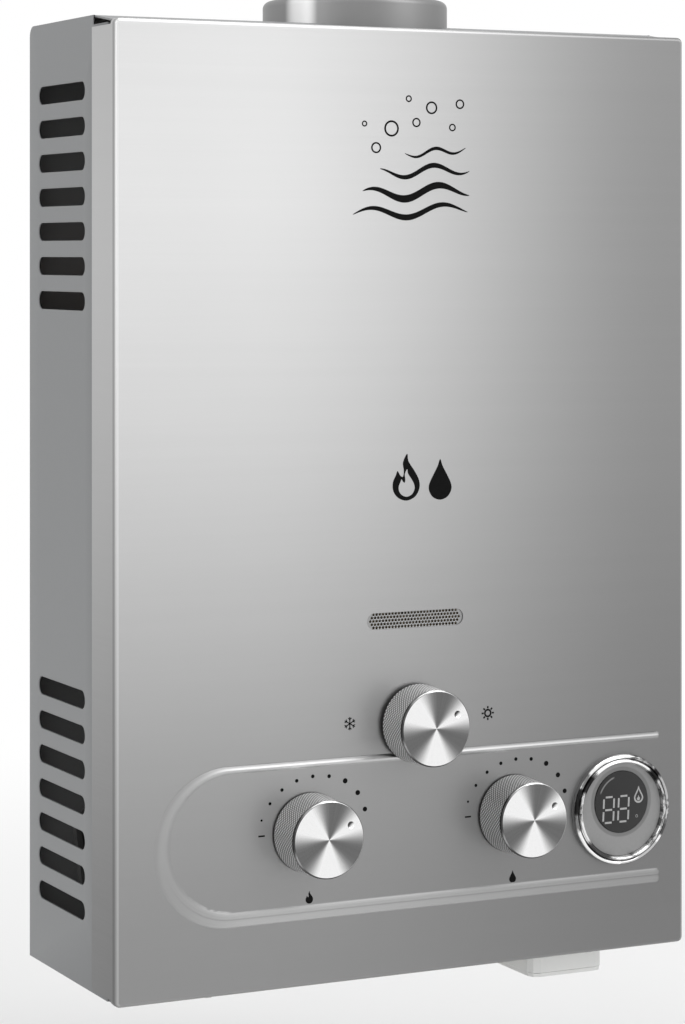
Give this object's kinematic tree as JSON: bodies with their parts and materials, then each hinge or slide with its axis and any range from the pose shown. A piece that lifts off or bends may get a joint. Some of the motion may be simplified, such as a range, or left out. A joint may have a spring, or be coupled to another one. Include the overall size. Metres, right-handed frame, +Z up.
{
  "type": "tankless gas water heater",
  "caption": "Flat wall-hung gas water heater with a steel pan front, turning knobs, a round display, side vents and a short round flue on top.",
  "frame": {"origin": "middle of the hanging rail's face, where the heater meets the wall, level with its two wall screws", "axes": "+Z up, +Y into the wall, -Y towards the user, +X to the right as seen from the front"},
  "size_m": [0.297, 0.1465, 0.4762],
  "materials": {
    "cover_steel": "brushed, drawn grain",
    "case_paint": "satin grey",
    "galvanised": "zinc coated",
    "screw_steel": "bright zinc",
    "grille_steel": "satin",
    "mica": "clear amber sheet",
    "knob_sleeve": "knurled, satin",
    "knob_face": "spun face with a bright edge",
    "spindle_brass": "turned",
    "bezel_chrome": "polished",
    "display_plastic": "satin grey",
    "display_glass": "dark, glossy",
    "circuit_board": "green laminate",
    "aluminised": "satin",
    "copper": "satin copper",
    "burner_steel": "satin",
    "manifold_alloy": "die-cast",
    "ceramic": "glazed white",
    "brass": "cast and turned",
    "valve_alloy": "die-cast",
    "coil": "moulded",
    "diaphragm_rubber": "matt",
    "steel_rod": "ground",
    "black_plastic": "moulded",
    "lead_red": "silicone",
    "wire_black": "sleeved",
    "box_plastic": "moulded light grey",
    "cell_label": "printed sleeve",
    "contact_steel": "plated"
  },
  "bodies": {
    "casing": {"left_side_panel": "case_paint", "right_side_panel": "case_paint", "back_panel": "case_paint", "bottom_plate": "case_paint", "front_cover": "cover_steel", "cover_screws": "screw_steel", "hanging_rail": "galvanised", "lower_bracket": "galvanised", "window_grille": "grille_steel", "window_pane": "mica", "display_bezel": "bezel_chrome", "display_housing": "display_plastic", "display_lens": "display_glass", "display_board": "circuit_board", "flue_collar": "galvanised", "draft_hood": "aluminised", "fin_pack": "copper", "exchanger_tubes": "copper", "combustion_chamber": "copper", "exchanger_brackets": "galvanised", "cold_water_pipe": "copper", "hot_water_pipe": "copper", "burner_bars": "burner_steel", "burner_frame": "burner_steel", "gas_manifold": "manifold_alloy", "spark_electrodes": "ceramic", "gas_inlet_fitting": "brass", "gas_valve_body": "valve_alloy", "solenoid_valve": "coil", "season_valve_body": "valve_alloy", "valve_bracket": "galvanised", "water_inlet_fitting": "brass", "hot_outlet_fitting": "brass", "water_valve_body": "brass", "diaphragm": "diaphragm_rubber", "diaphragm_cover": "valve_alloy", "drain_cock_body": "brass", "micro_switch": "black_plastic", "thermostat": "black_plastic", "ignition_controller": "black_plastic", "ignition_leads": "lead_red", "wire_harness": "wire_black", "battery_box": "box_plastic", "lid_pin": "steel_rod", "battery_cells": "cell_label", "battery_contacts": "contact_steel"},
    "gas_control": {"gas_knob": "knob_sleeve", "gas_knob_cap": "knob_face", "gas_spindle": "spindle_brass"},
    "water_control": {"water_knob": "knob_sleeve", "water_knob_cap": "knob_face", "water_spindle": "spindle_brass"},
    "season_control": {"season_knob": "knob_sleeve", "season_knob_cap": "knob_face", "season_spindle": "spindle_brass"},
    "battery_door": {"battery_lid": "box_plastic"},
    "drain_plug": {"drain_cock_knob": "black_plastic"},
    "valve_rod": {"push_rod": "steel_rod"},
    "switch_arm": {"switch_lever": "contact_steel"}
  },
  "joints": [
    {"name": "gas_knob_turn", "type": "hinge", "parent": "casing", "child": "gas_control", "pos_m": [-0.0533, -0.1255, -0.3296], "axis": [0, -1, 0], "range_deg": [-31, 149]},
    {"name": "water_knob_turn", "type": "hinge", "parent": "casing", "child": "water_control", "pos_m": [0.0533, -0.1255, -0.3296], "axis": [0, -1, 0], "range_deg": [-31, 149]},
    {"name": "season_knob_turn", "type": "hinge", "parent": "casing", "child": "season_control", "pos_m": [0.0015, -0.1255, -0.2832], "axis": [0, -1, 0], "range_deg": [-31, 149]},
    {"name": "battery_door_swing", "type": "hinge", "parent": "casing", "child": "battery_door", "pos_m": [0.0967, -0.0253, -0.414], "axis": [1, 0, 0], "range_deg": [0, 100]},
    {"name": "drain_plug_turn", "type": "hinge", "parent": "casing", "child": "drain_plug", "pos_m": [0.028, -0.0595, -0.409], "axis": [0, 0, -1], "range_deg": [0, 90]},
    {"name": "valve_rod_slide", "type": "slide", "parent": "casing", "child": "valve_rod", "axis": [-1, 0, 0], "range_m": [0, 0.004], "stiffness_N_per_m": 500},
    {"name": "switch_arm_swing", "type": "hinge", "parent": "casing", "child": "switch_arm", "pos_m": [-0.004, -0.0615, -0.326], "axis": [0, 0, 1], "range_deg": [0, 8]}
  ],
  "couplings": [
    {"joint": "switch_arm_swing", "follows": "valve_rod_slide", "rad_per_m": 34.9}
  ]
}
